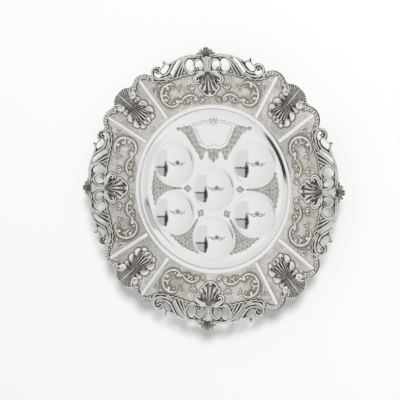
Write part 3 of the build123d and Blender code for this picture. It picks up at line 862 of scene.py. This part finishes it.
palmette_edge = [
    (4, 166), (10, 165), (17, 162.4), (21.4, 158), (22, 153.6), (19, 150.6), (14.6, 150.2), (13, 148),
    (14.8, 144.8), (13.6, 141.6), (11, 139.6), (8.8, 136.4), (5.4, 134), (2.6, 132.8), (0, 132.4)]
middle_lobe = [(6.4, 151), (7.6, 145.6), (6.6, 140.4), (4.6, 136), (2.2, 133.6), (0, 132.8)]
SLIT_ENDS = (SLIT_FLUTES, 0.25, 0.45)
palmette = leaflets(
    ([(3.8, 166), (3.4, 163.4)], palmette_edge[:7], 2, 0.4, 1.5, VEINED),
    ([(3.4, 165), (0.6, 156)], palmette_edge[6:13], 3, 0.6, 1.9, VEINED),
    tip=SLIT_ENDS, fade=(0.5, 1.0, 1.0), flare=1.5, notch=0.8, rows=24)
palmette += fluted([(-2.6, 165), (2.6, 165)], left_to_right(middle_lobe), 4, 1.5, 2.0, VEINED,
                   tip=SLIT_ENDS, fade=(0.6, 1.0, 1.0), notch=0.6, rows=28)
palmette = drilled(palmette, [(10.2, 154.4), (8.6, 149), (0, 138.2)], 1.5)
palmette += rolled_rim(palmette_edge, 0.95, 0.7)
curls_and_veins = mirrored([
    [(5, 164.4, 0.6), (10.4, 162.6, 1), (15.6, 160.2, 1.3), (19, 156.6, 1.4), (18.2, 153.4, 1.3),
     (15, 153.6, 1.1), (14.6, 156.2, 0.8)],
    [(4.4, 163.6, 0.4), (7.4, 158, 0.6), (9.6, 152, 0.6), (11.2, 146, 0.5), (12, 143, 0.3)]])
palmette += raised_bars(curls_and_veins, 1.5, (0.9, 2.2, 0.35, 0.2), flatness=0.8, grooves=2.0, depth=0.08,
                        around=10)

# Acanthus leaves: a sheaf of flutes drawn in at a waist, spread inwards as a fan and flared outwards, with
# swelling lobes along the sides, drilled where they part, and a curl under each flared corner

leaf_edge = [
    (9.4, 194.4), (14, 192), (18.5, 187.4), (19.4, 181.5), (17.6, 176.8), (13, 174.2), (16.2, 171),
    (16.4, 168), (12.8, 165.4), (17, 162.6), (19.2, 158.2), (18, 154.8), (14.8, 153.4), (18.2, 150.2),
    (19, 146), (16.6, 142.4), (12.8, 141.4), (13.4, 138), (10.6, 135.8), (7.2, 136.6), (5, 138.8),
    (3.2, 136.4), (0, 135.6)]
WAIST = 168.0
WAIST_WIDTH = 5.4
waist_line = [(-WAIST_WIDTH, WAIST), (WAIST_WIDTH, WAIST)]
leaf = leaflets(
    ([(5, 181), (5, 171)], leaf_edge[2:6], 1, 0.5, 1.4, GREY_LOBES),
    ([(5, 172), (5, 167)], leaf_edge[5:9], 1, 0.6, 2.0, GREY_LOBES),
    ([(5.4, 166), (7.6, 160)], leaf_edge[8:13], 1, 0.6, 2.4, PALE_LOBES),
    ([(7, 158), (8.6, 151)], leaf_edge[12:17], 1, 0.6, 2.4, PALE_LOBES),
    ([(8, 148), (6, 144)], leaf_edge[16:20], 1, 0.5, 1.8, PALE_LOBES),
    hollow=False, fade=(0.15, 0.85, 1.0), samples=20)
leaf += fluted([(-6, 145), (6, 145)], left_to_right(leaf_edge[19:]), 2, 0.5, 1.8, PALE_LOBES,
               hollow=False, fade=(0.1, 0.8, 1.0))
leaf = drilled(leaf, [(10.4, 173.4), (10.8, 165.6), (12.6, 153.8), (10.8, 142)], 1.6)
leaf += fluted(waist_line, left_to_right([(10.4, 153), (9.2, 146), (5.8, 141.6), (0, 140)]), 6, 1.5, 2.0,
               DARK_FLUTES, tip=((0.03, 0.05, 0.2, 0.6, 1.0), 0.5, 0.9), flare=1.4, fade=(0.8, 1.0, 1.0),
               rows=28)
leaf += fluted(waist_line, left_to_right([(17.6, 188), (14, 192), (9.4, 194.4), (0, 195.4)]), 6, 1.5, 1.8,
               GREY_FACETS, flare=1.7, fade=(0.8, 0.95, 0.95), rows=30)
leaf += rolled_rim(leaf_edge, 0.55, 0.6)
spine = [[(0, 194.8, 0.7, 1.8), (0, 184, 0.8, 3.1), (0, 174, 0.6, 3.2), (0, 166, 0.3, 2.8)]]
leaf += raised_bars(spine, 0.0, (1.2, 2.0, 0.5, 0.1), flatness=0.9, grooves=2.0, depth=0.05, around=10)
corner_curls = mirrored([
    [(17, 187, 0.8), (12.6, 183.6, 1.4), (9.8, 179.8, 1.7), (10.2, 175.8, 1.8), (13.4, 174.4, 1.7),
     (16.2, 176.6, 1.6), (16.2, 180, 1.4), (13.6, 181, 1.1), (12.8, 178.8, 0.8)]])
leaf += raised_bars(corner_curls, 1.1, (0.5, 2.0, 0.3, 0.2), flatness=0.8, grooves=2.0, depth=0.08)

# The panels' sheet under the applied work, with painted shadow round every edge that stands on it

STRIP_MARGIN = 2.9
PANEL_START = 121.4
palmette_foot = [(u, v, 1.1) for u, v in palmette_edge]
leaf_foot = [(u, v, 1.1) for u, v in leaf_edge]
ground = chased_ground(chased + chased_beads, mirrored([palmette_foot, strands[INNER_EDGE]]), RIB_ANGLE,
                       STRIP_MARGIN, (PANEL_START, 166.0), pitch=0.55, spread=8.0)
leaf_ground = chased_ground([], mirrored([leaf_foot]), 45 - RIB_ANGLE, STRIP_MARGIN, (PANEL_START, 189.0),
                            pitch=0.6)


def applied(name, shape, turn, node):
    """An antiqued piece laid on the rim, in the place of its solid."""
    return make_piece(name, shape.draped(), ANTIQUED, turn, nodes=[node])


for side, turn in SIDES.items():
    make_piece(f"chased_scrolls_{side}", chasing.draped(), ANTIQUED, turn)
    make_piece(f"chased_ground_{side}", ground.draped(), CHASED, turn)
    applied(f"scroll_gallery_{side}", gallery, turn, f"pierced_gallery_{side}")
    applied(f"fluted_palmette_{side}", palmette, turn, f"palmette_{side}")
for corner, turn in CORNERS.items():
    make_piece(f"leaf_ground_{corner}", leaf_ground.draped(), CHASED, turn)
    applied(f"fluted_leaf_{corner}", leaf, turn, f"acanthus_leaf_{corner}")

# Lobe mouldings: a leaf-wrapped roll round the end of each strip, with a curl at each end

LOBE = 15.4
LOBE_CENTRE = 174.8
ROLL = 2.6


def on_lobe(radius, angle):
    """A point round the lobe's centre, its angle in radians from outwards."""
    return radius * math.sin(angle), LOBE_CENTRE + radius * math.cos(angle)


lobe = [(*on_lobe(LOBE, a), 4.0) for a in np.radians(np.linspace(-66, 66, 9))]
moulding = raised_bars([lobe], 0.2, (0.4, 2.6, 0.0, 0.7), flatness=0.55, grooves=5.0, depth=0.16, around=20)
LOBE_DULLNESS = 0.9
moulding.bright *= LOBE_DULLNESS
wraps = mirrored([
    [(*on_lobe(LOBE + ROLL, a), 0.6), (*on_lobe(LOBE, a + 0.1), 1.2), (*on_lobe(LOBE - ROLL, a + 0.26), 0.5)]
    for a in np.radians((4, 20, 36, 52))])
moulding += raised_bars(wraps, 1.7, (1.4, 2.5, 0.0, 0.2), flatness=0.7, grooves=2.0, depth=0.1, around=10)
end_curls = mirrored([
    [(15.2, 184.6, 1.7), (17.6, 180.8, 1.7), (17, 176.6, 1.5), (13.8, 175.6, 1.3), (12.2, 178, 1.1),
     (13.8, 179.8, 0.8)]])
moulding += raised_bars(end_curls, 0.6, (0.3, 1.8, 0.15, 0.5), flatness=0.85, depth=0.2)
strip_turns = [turn + side for turn in SIDES.values() for side in (RIB_ANGLE, 90 - RIB_ANGLE)]
for number, turn in enumerate(strip_turns, 1):
    applied(f"rolled_lobe_{number}", moulding, turn, f"lobe_moulding_{number}")

# Strips over the panels' seams, with a milled line inside each edge

# The strip's section as (across, height, brightness); the brightness paints shade down its bevelled sides and
# in its milled lines
section = [(-2.8, 0.5, 0.3), (-2.7, 0.95, 0.9), (-2.3, 1.12, 1.0), (-2.0, 1.15, 0.95), (-1.85, 1.05, 0.6),
           (-1.65, 1.2, 1.0), (-0.8, 1.38, 1.0)]
section += [(0, 1.42, 1.0)] + [(-x, z, tone) for x, z, tone in section[::-1]]
STRIP_ENDS = (121.7, 187.4)
STRIP_UNDER = -0.3
strip_points = np.array([[(x, y, z) for x, z, _ in section] for y in np.linspace(*STRIP_ENDS, 90)])
strip_tones = np.broadcast_to([tone for _, _, tone in section], strip_points.shape[:2])
strip = closed_sheet(strip_points, strip_tones, STRIP_UNDER)
for number, turn in enumerate(strip_turns, 1):
    make_piece(f"milled_strip_{number}", strip.draped(), STRIP, turn,
               nodes=[f"rib_strip_{number}"])

# Engraving on the centre: matted grounds, bright scrolls on them, a framed field, and a sprig in each well

MATTED_HEIGHT = 0.02
MATTED_THICKNESS = 0.05
GROUND_LINES = 0.07
BARE_LINES = 0.05


def spiral(u, v, radius, start, turns, hand=1, wire=0.42):
    """A curl that winds in from a start angle, in degrees from +Y."""
    curl = []
    for t in np.linspace(0, 1, 9):
        angle = math.radians(start + hand * 360 * turns * t)
        wound = radius * (1 - 0.78 * t)
        curl.append((u + wound * math.sin(angle), v + wound * math.cos(angle), wire * (1 - 0.4 * t)))
    return curl


def curls(*given):
    """Curls, each given as what spiral takes."""
    return [spiral(*one) for one in given]


def wire(radius, *points):
    """A stroke of even thickness."""
    return [(u, v, radius) for u, v in points]


def engraved_lines(strokes, lift, bright, steps=5):
    """Thin flat wires that stand for engraved lines."""
    lines = scrolls(moved(strokes, lift), flatness=0.3, grooves=1.0, depth=0.0, around=6, steps=steps)
    lines.bright[:] = bright
    return lines


def on_tray(radius):
    """The height of the centre plate."""
    return np.full_like(radius, TRAY)


def in_well(radius):
    """The height of a well's bowl."""
    return DISH_CENTRE - np.sqrt(DISH**2 - radius**2)


def engrave(name, half, wires, turns, border=()):
    """Engraves one pattern at each of the turns: a matted ground inside an outline, given as its right half,
    with bright scrolls on it, and a border on the bare plate."""
    outline = [(u, v, 1) for u, v in closed_outline(half)]
    patch = strokes_shape([outline], PLATE, closed=True, Thickness=MATTED_THICKNESS * MM, Steps=6, Level=1,
                          Material=MATTED).welded()
    patch.points[:, 2] += MATTED_HEIGHT
    lines = engraved_lines(mirrored(wires), GROUND_LINES, 0.45, 4)
    if border:
        lines += engraved_lines(border, BARE_LINES, 0.6)
    for turn in turns:
        make_piece(f"{name}_ground_{turn}", patch.laid(on_tray), MATTED, turn)
        make_piece(f"{name}_lines_{turn}", lines.laid(on_tray), ANTIQUED, turn)


spray_edge = [
    (0, 49), (1.8, 53), (1.5, 57), (2.2, 62), (3, 68), (5.2, 75.4), (9, 81.8), (14, 87), (19, 90.2),
    (24, 91.4), (26, 93), (23.4, 95), (19.4, 94.2), (16, 96.6), (11.6, 96), (8, 98.4), (4, 97.4), (0, 99.4)]
spray_wires = curls(
    (22.6, 93.2, 1.9, -60, 1.2), (16.6, 93.2, 2.4, -60, 1.2), (9.6, 94.4, 2.4, -50, 1.2),
    (3.2, 94.8, 2.2, -40, 1.2), (12.6, 89, 2.2, 100, 1.2, -1), (6.6, 89.4, 2.2, 100, 1.2, -1),
    (8.4, 84.4, 1.9, -80, 1.1), (3.4, 84.6, 1.9, 100, 1.1, -1), (4.4, 79.4, 1.6, -80, 1.1),
    (2, 74.8, 1.4, 90, 1.1, -1))
spray_wires += [[(0.4, 50, 0.3), (1.0, 56, 0.45), (0.5, 62, 0.45), (1.2, 68, 0.45), (1.6, 72, 0.4)],
                [(0.2, 76, 0.3), (0.5, 82, 0.45), (0.3, 88, 0.45), (0.8, 92, 0.4)]]
bud_edge = [(0, 34.4), (2.2, 36), (3.6, 38.6), (5.4, 39.4), (5.6, 41.6), (3.8, 42.6), (2.6, 44.8), (0, 47.4)]
bud_wires = curls((3.0, 40.4, 1.7, -60, 1.1), (1.6, 36.8, 1.2, 100, 1.0, -1))
bud_wires += [[(0.3, 42, 0.4), (0.9, 44, 0.4), (0.3, 46, 0.25)]]
field_edge = [
    (0, 37.6), (2.6, 41), (6, 43), (8.4, 46.4), (7.6, 50), (9.6, 54), (12.6, 53), (15, 48.6), (16.4, 43.4),
    (19, 41), (21.6, 43.4), (23, 49), (27, 53.6), (30, 59), (34.4, 64), (37, 69), (40.6, 73.4), (43, 78),
    (47.4, 80.6), (50, 84), (55, 83.6), (58.4, 86), (55.6, 88.6), (50, 88), (46, 90.4), (41, 90), (37, 92),
    (34.2, 89), (30, 80), (26, 71.6), (21.6, 63.4), (16, 60), (11, 57.8), (5.4, 57.6), (0, 58.6)]
field_wires = curls(
    (55, 86, 2, -80, 1.2), (48.6, 85.6, 2.4, -80, 1.2), (42, 86.4, 2.8, -80, 1.2),
    (40.4, 79.4, 2.6, 60, 1.2, -1), (35.6, 80.6, 2.4, -120, 1.2), (36.6, 73.6, 2.6, 60, 1.2, -1),
    (31.6, 73.8, 2.2, -120, 1.2), (32, 66.6, 2.6, 60, 1.2, -1), (27, 66.4, 2, -120, 1.2),
    (26.6, 59.6, 2.8, 60, 1.2, -1), (21, 59, 2.2, -120, 1.2), (20.4, 52.4, 2.6, 60, 1.2, -1),
    (18.8, 45.6, 2.2, 30, 1.3, -1), (14.6, 56.6, 2, -100, 1.2), (7.4, 54.6, 2.4, -60, 1.2),
    (3.6, 50, 2.2, 80, 1.2, -1), (4.6, 45.4, 1.8, -80, 1.1))
field_wires += [[(0.3, 39.4, 0.3), (0.7, 43, 0.45), (0.3, 48, 0.45), (0.8, 55, 0.4)]]
frame_lines = mirrored([
    wire(0.45, (0, 99), (8, 98.6), (16, 97.4), (24, 95.4), (31, 93.2), (33.4, 91.4), (32.8, 88.6),
         (29, 80.6), (25, 72.2), (20.6, 64.2)),
    wire(0.4, (3, 95.4), (12, 94.8), (20, 93.2), (27.4, 91), (28.8, 89.2), (26, 82.4), (21.8, 73.8),
         (17.8, 66), (14.4, 63.8), (11, 61.6), (7, 61), (3.6, 62.4), (0, 65)),
    [(1.6, 97, 0.3), (4.4, 100, 0.6), (4.6, 102.4, 0.3)],
    [(1.6, 96.4, 0.3), (5.4, 97.4, 0.6), (7.6, 99.2, 0.25)],
    [(1.6, 95.6, 0.3), (4, 93.4, 0.6), (4, 91.4, 0.3)],
    [(0.05, 98, 0.4), (0.4, 101.4, 0.7), (0.05, 103.6, 0.25)],
    [(0.05, 95, 0.4), (0.4, 92.4, 0.6), (0.05, 90.4, 0.25)], spiral(0.9, 96.8, 0.9, 0, 0.9)])

SPRAY_TURNS = (90, 150, 210, 270)
engrave("engraved_spray", spray_edge, spray_wires, SPRAY_TURNS)
engrave("engraved_bud", bud_edge, bud_wires, SPRAY_TURNS)
engrave("engraved_field", field_edge, field_wires, (0,), frame_lines)

sprig = [[(u + 1.5, v + 1.0, *rest) for u, v, *rest in stroke] for stroke in mirrored([
    [(0.1, -2.6, 0.3), (0.6, 0.6, 0.8), (0.1, 4.2, 0.25)],
    [(0.6, -2, 0.3), (2.2, 0.8, 0.75), (3.2, 3, 0.25)],
    [(0.8, -2.4, 0.3), (3.4, -0.8, 0.7), (5.4, 0.2, 0.25)], spiral(8.2, -1.4, 2.2, -150, 1.2, 1, 0.5),
    [(0.6, -3, 0.3), (3.6, -3.6, 0.45), (7, -3.4, 0.5)],
    [(10.4, -1.4, 0.3), (11.8, 0.2, 0.55), (12.2, 2.2, 0.2)]])]
sprig_lines = engraved_lines(sprig, BARE_LINES, 0.42)
for name, spot in WELL_SPOTS.items():
    make_piece(f"engraved_sprig_{name}", sprig_lines.laid(in_well), ANTIQUED, spot=spot)

# Studio, in metres: a pale floor, a white tent with gaps, one soft light, and the camera of the photograph

FLOOR = 6.0
FLOOR_GLOW = 0.22


def seen_directly(tree):
    """1 for rays from the camera or from a surface that mirrors or is clear, and 0 for light on the plate."""
    path = put(tree, "ShaderNodeLightPath").outputs
    passed_on = math_node(tree, "MAXIMUM", path["Is Glossy Ray"], path["Is Transmission Ray"])
    return math_node(tree, "MAXIMUM", path["Is Camera Ray"], passed_on)


floor_mesh = bpy.data.meshes.new("floor")
floor_corners = [(-FLOOR, -FLOOR, 0), (FLOOR, -FLOOR, 0), (FLOOR, FLOOR, 0), (-FLOOR, FLOOR, 0)]
floor_mesh.from_pydata(floor_corners, [], [(0, 1, 2, 3)])
floor = new_object("floor", floor_mesh)
pale = bpy.data.materials.new("pale floor")
pale.use_nodes = True
tree = pale.node_tree
shader = tree.nodes["Principled BSDF"]
shader.inputs["Base Color"].default_value = (0.94, 0.94, 0.94, 1)
shader.inputs["Roughness"].default_value = 0.9
shader.inputs["Specular IOR Level"].default_value = 0.0
white = out(tree, "ShaderNodeEmission", {"Color": (1, 1, 1, 1), "Strength": 1.0})
share = math_node(tree, "MULTIPLY", seen_directly(tree), FLOOR_GLOW)
mix = out(tree, "ShaderNodeMixShader", {0: share, 1: shader.outputs[0], 2: white})
tree.links.new(mix, tree.nodes["Material Output"].inputs["Surface"])
floor_mesh.materials.append(pale)

# How bright the tent looks, how that changes along x, y and z, and how much light it gives
TENT_LEVEL = 0.87
TENT_CHANGES = (0.05, -0.02, 0.10)
TENT_LIGHT = 0.36
world = bpy.data.worlds.new("studio")
bpy.context.scene.world = world
world.use_nodes = True
tree = world.node_tree
back = tree.nodes["Background"]
back.inputs["Color"].default_value = (1, 1, 1, 1)
ray = put(tree, "ShaderNodeTexCoord").outputs["Generated"]
toward = put(tree, "ShaderNodeSeparateXYZ", {0: ray}).outputs
level = TENT_LEVEL
for side, change in zip(toward, TENT_CHANGES):
    level = math_node(tree, "MULTIPLY_ADD", side, change, level)
high = math_node(tree, "MAXIMUM", toward[2], 0.05)
over = [math_node(tree, "DIVIDE", toward[n], high) for n in (0, 1)]


def between(value, low, high, soft):
    """1 where a value lies between low and high, with soft ends."""
    rise = out(tree, "ShaderNodeMapRange", {0: value, 1: low - soft, 2: low + soft},
               interpolation_type="SMOOTHSTEP")
    fall = out(tree, "ShaderNodeMapRange", {0: value, 1: high - soft, 2: high + soft, 3: 1.0, 4: 0.0},
               interpolation_type="SMOOTHSTEP")
    return math_node(tree, "MULTIPLY", rise, fall)


# The gaps between the white tent's sheets: a stand and its arm overhead with a dull sheet behind, and one low
# at the left
wobble = out(tree, "ShaderNodeTexNoise", {"Scale": 7.0, "Detail": 1.0})
waver = math_node(tree, "MULTIPLY_ADD", wobble, 0.16, -0.08)
along, up = [math_node(tree, "ADD", value, waver) for value in over]
up_stand, beside_stand = [math_node(tree, "ABSOLUTE", math_node(tree, "SUBTRACT", value, middle))
                          for value, middle in ((up, 0.28), (along, 0.1))]
from_stand = math_node(tree, "ADD", beside_stand, math_node(tree, "MULTIPLY", up_stand, 0.22))
round_view = math_node(tree, "ARCTAN2", toward[1], toward[0])
gaps = [
    (0.92, between(from_stand, -1.0, 0.115, 0.03), between(up, -0.15, 0.68, 0.05)),
    (0.85, between(along, 0.1, 0.72, 0.05), between(up, 0.1, 0.2, 0.03)),
    (0.4, between(along, 0.08, 0.8, 0.04), between(up, 0.15, 0.64, 0.04)),
    (0.16, between(along, 0.0, 0.85, 0.06), between(up, -0.9, 0.15, 0.08)),
    (0.95, between(round_view, -3.0, -2.6, 0.05), between(toward[2], -0.4, 0.215, 0.025)),
]
glow = level
for depth, *parts in gaps:
    shut = math_node(tree, "MULTIPLY", *parts)
    glow = math_node(tree, "MULTIPLY", glow, math_node(tree, "MULTIPLY_ADD", shut, -depth, 1.0))
strength = out(tree, "ShaderNodeMix", {0: seen_directly(tree), 2: TENT_LIGHT, 3: glow})
tree.links.new(strength, back.inputs["Strength"])

LAMP_PLACE = (2.9, 3.9, 6.2)
LAMP_SIZE = 2.2
LAMP_POWER = 530
lamp = bpy.data.lights.new("main light", "AREA")
lamp.size = LAMP_SIZE
lamp.energy = LAMP_POWER
light = new_object("main light", lamp)
light.location = LAMP_PLACE
x, y, z = LAMP_PLACE
light.rotation_euler = (math.atan2(math.hypot(x, y), z), 0, math.atan2(-y, -x) - math.pi / 2)
light.visible_glossy = False

LENS = 87.73
SENSOR = 36
CAMERA_PLACE = (0.53398, 0.08333, 1.30015)
CAMERA_TURN = (-4.2, 23.3, -0.3516)
camera = bpy.data.cameras.new("camera")
camera.lens = LENS
camera.sensor_width = SENSOR
camera.clip_start = 0.01
view = new_object("camera", camera)
view.location = CAMERA_PLACE
view.rotation_euler = tuple(math.radians(a) for a in CAMERA_TURN)
bpy.context.scene.camera = view
bpy.context.scene.view_settings.view_transform = "Standard"
